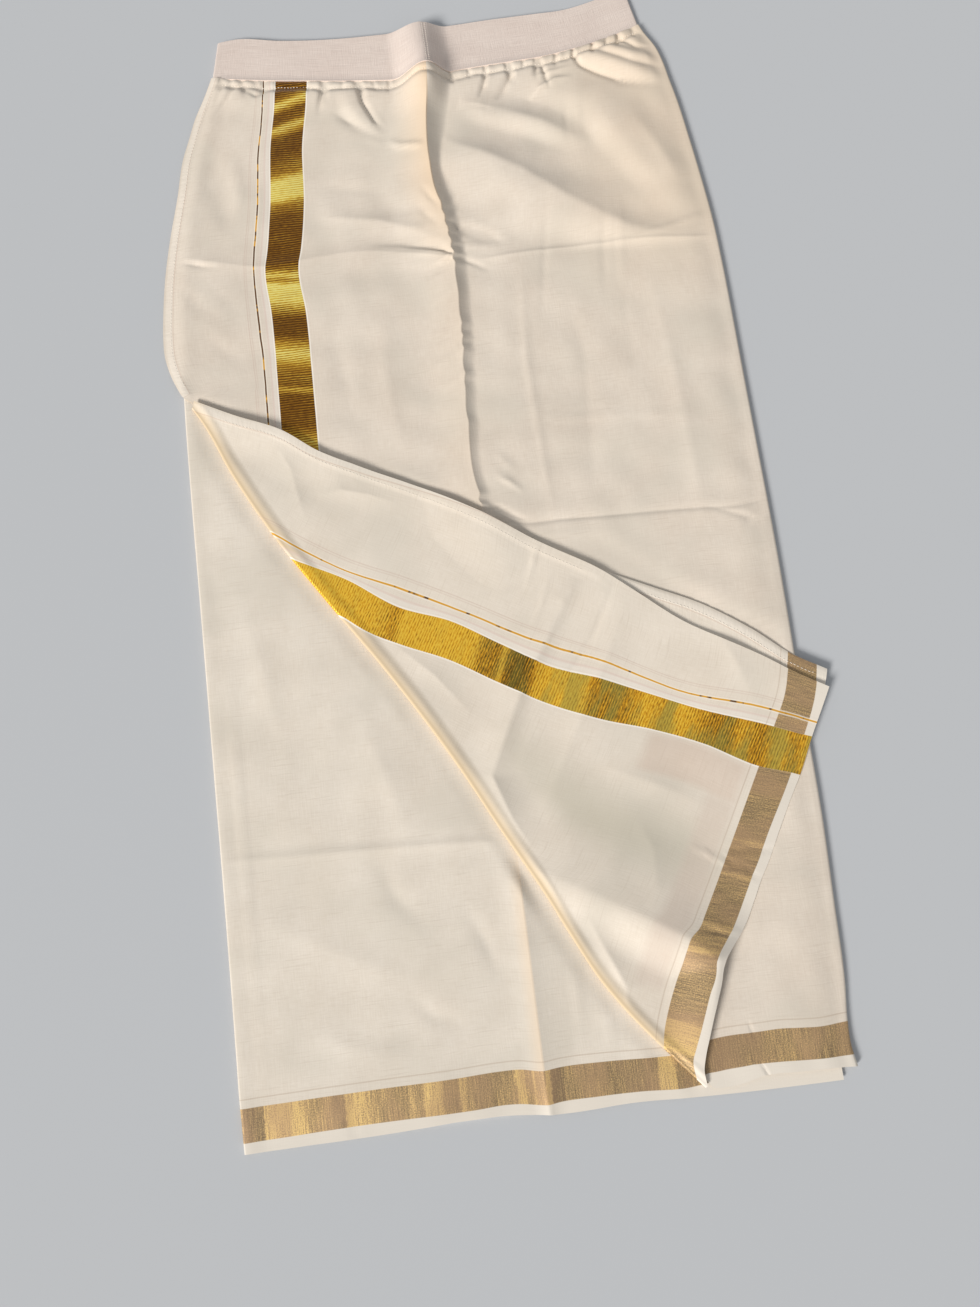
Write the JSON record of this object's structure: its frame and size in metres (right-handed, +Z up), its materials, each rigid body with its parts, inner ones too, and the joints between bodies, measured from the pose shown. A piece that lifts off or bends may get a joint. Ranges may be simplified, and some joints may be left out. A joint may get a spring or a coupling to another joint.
{
  "type": "ready-made dhoti with an elastic waistband, laid flat",
  "caption": "Cream cotton dhoti with gold borders, gathered into a knitted elastic waistband, lying flat with one front corner turned back.",
  "frame": {"origin": "on the floor, under the middle of the garment's bounding box", "axes": "+X along the hem to the wearer's left as seen from above, +Y from hem to waist, +Z up off the floor"},
  "size_m": [0.5449, 1.022, 0.0238],
  "materials": {
    "cotton": "plain-woven cream cotton with gold border threads",
    "wrong_side": "the same cotton, wrong side up",
    "knit": "knitted elastic, matt off-white"
  },
  "bodies": {
    "root": {"back_panel": "cotton", "inner_front": "cotton", "outer_front": "cotton", "turned_flap": "wrong_side", "flap_margin": "wrong_side", "waistband": "knit"}
  },
  "joints": []
}
